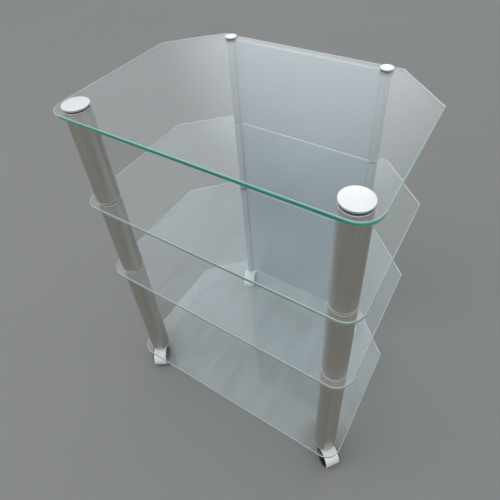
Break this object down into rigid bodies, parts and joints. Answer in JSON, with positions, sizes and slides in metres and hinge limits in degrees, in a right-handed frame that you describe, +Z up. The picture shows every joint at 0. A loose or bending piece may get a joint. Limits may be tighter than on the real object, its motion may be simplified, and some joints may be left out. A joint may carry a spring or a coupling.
{
  "type": "glass audio equipment rack",
  "caption": "Glass audio equipment rack on castors: clear shelves with chamfered rear corners clamped on two thick front columns and two slim rear posts, with satin back panels.",
  "frame": {"origin": "on the floor under the middle of the shelves, which is within 6 mm of the middle of the whole box, because the castors trail past the front edge", "axes": "+X to the right along the front edge, +Y from the front to the back, +Z up"},
  "size_m": [0.6178, 0.4331, 0.8644],
  "materials": {
    "glass": "clear float glass with a slight green cast, polished edges",
    "tube": "satin, brushed along its length",
    "cap": "bright satin, turned",
    "panel": "satin silver grey",
    "zinc": "bright zinc plated",
    "hood": "satin chrome",
    "plug": "grey moulded plastic",
    "gasket": "black, matt",
    "wheel": "black nylon"
  },
  "bodies": {
    "rack": {"bottom_shelf": "glass", "lower_shelf": "glass", "upper_shelf": "glass", "top_shelf": "glass", "front_left_lower_tube": "tube", "front_left_lower_tube_plug": "plug", "front_right_lower_tube": "tube", "front_right_lower_tube_plug": "plug", "rear_left_lower_tube": "tube", "rear_right_lower_tube": "tube", "lower_back_panel": "panel", "front_left_middle_tube": "tube", "front_left_middle_tube_plug": "plug", "front_right_middle_tube": "tube", "front_right_middle_tube_plug": "plug", "rear_left_middle_tube": "tube", "rear_right_middle_tube": "tube", "middle_back_panel": "panel", "front_left_upper_tube": "tube", "front_left_upper_tube_plug": "plug", "front_right_upper_tube": "tube", "front_right_upper_tube_plug": "plug", "rear_left_upper_tube": "tube", "rear_right_upper_tube": "tube", "upper_back_panel": "panel", "front_left_cap": "cap", "front_left_cap_gasket": "gasket", "front_left_tie_rod": "zinc", "front_left_castor_stem": "zinc", "front_right_cap": "cap", "front_right_cap_gasket": "gasket", "front_right_tie_rod": "zinc", "front_right_castor_stem": "zinc", "rear_left_cap": "cap", "rear_left_cap_gasket": "gasket", "rear_left_tie_rod": "zinc", "rear_left_castor_stem": "zinc", "rear_right_cap": "cap", "rear_right_cap_gasket": "gasket", "rear_right_tie_rod": "zinc", "rear_right_castor_stem": "zinc"},
    "front_left_castor": {"front_left_castor_hood": "hood", "front_left_castor_axle": "zinc"},
    "front_left_castor_left_wheel": {"front_left_castor_left_wheel": "wheel"},
    "front_left_castor_right_wheel": {"front_left_castor_right_wheel": "wheel"},
    "front_right_castor": {"front_right_castor_hood": "hood", "front_right_castor_axle": "zinc"},
    "front_right_castor_left_wheel": {"front_right_castor_left_wheel": "wheel"},
    "front_right_castor_right_wheel": {"front_right_castor_right_wheel": "wheel"},
    "rear_left_castor": {"rear_left_castor_hood": "hood", "rear_left_castor_axle": "zinc"},
    "rear_left_castor_left_wheel": {"rear_left_castor_left_wheel": "wheel"},
    "rear_left_castor_right_wheel": {"rear_left_castor_right_wheel": "wheel"},
    "rear_right_castor": {"rear_right_castor_hood": "hood", "rear_right_castor_axle": "zinc"},
    "rear_right_castor_left_wheel": {"rear_right_castor_left_wheel": "wheel"},
    "rear_right_castor_right_wheel": {"rear_right_castor_right_wheel": "wheel"}
  },
  "joints": [
    {"name": "front_left_castor_swivel", "type": "hinge", "parent": "rack", "child": "front_left_castor", "pos_m": [-0.265, -0.173, 0.0515], "axis": [0, 0, 1], "continuous": true},
    {"name": "front_left_castor_left_wheel_roll", "type": "hinge", "parent": "front_left_castor", "child": "front_left_castor_left_wheel", "pos_m": [-0.25373, -0.19131, 0.0225], "axis": [0.8517, 0.524, 0], "continuous": true},
    {"name": "front_left_castor_right_wheel_roll", "type": "hinge", "parent": "front_left_castor", "child": "front_left_castor_right_wheel", "pos_m": [-0.25373, -0.19131, 0.0225], "axis": [0.8517, 0.524, 0], "continuous": true},
    {"name": "front_right_castor_swivel", "type": "hinge", "parent": "rack", "child": "front_right_castor", "pos_m": [0.265, -0.173, 0.0515], "axis": [0, 0, 1], "continuous": true},
    {"name": "front_right_castor_left_wheel_roll", "type": "hinge", "parent": "front_right_castor", "child": "front_right_castor_left_wheel", "pos_m": [0.28203, -0.18612, 0.0225], "axis": [0.6101, 0.7923, 0], "continuous": true},
    {"name": "front_right_castor_right_wheel_roll", "type": "hinge", "parent": "front_right_castor", "child": "front_right_castor_right_wheel", "pos_m": [0.28203, -0.18612, 0.0225], "axis": [0.6101, 0.7923, 0], "continuous": true},
    {"name": "rear_left_castor_swivel", "type": "hinge", "parent": "rack", "child": "rear_left_castor", "pos_m": [-0.177, 0.1945, 0.0515], "axis": [0, 0, 1], "continuous": true},
    {"name": "rear_left_castor_left_wheel_roll", "type": "hinge", "parent": "rear_left_castor", "child": "rear_left_castor_left_wheel", "pos_m": [-0.17, 0.17417, 0.0225], "axis": [0.9455, 0.3256, 0], "continuous": true},
    {"name": "rear_left_castor_right_wheel_roll", "type": "hinge", "parent": "rear_left_castor", "child": "rear_left_castor_right_wheel", "pos_m": [-0.17, 0.17417, 0.0225], "axis": [0.9455, 0.3256, 0], "continuous": true},
    {"name": "rear_right_castor_swivel", "type": "hinge", "parent": "rack", "child": "rear_right_castor", "pos_m": [0.177, 0.1945, 0.0515], "axis": [0, 0, 1], "continuous": true},
    {"name": "rear_right_castor_left_wheel_roll", "type": "hinge", "parent": "rear_right_castor", "child": "rear_right_castor_left_wheel", "pos_m": [0.18676, 0.17534, 0.0225], "axis": [0.891, 0.454, 0], "continuous": true},
    {"name": "rear_right_castor_right_wheel_roll", "type": "hinge", "parent": "rear_right_castor", "child": "rear_right_castor_right_wheel", "pos_m": [0.18676, 0.17534, 0.0225], "axis": [0.891, 0.454, 0], "continuous": true}
  ]
}
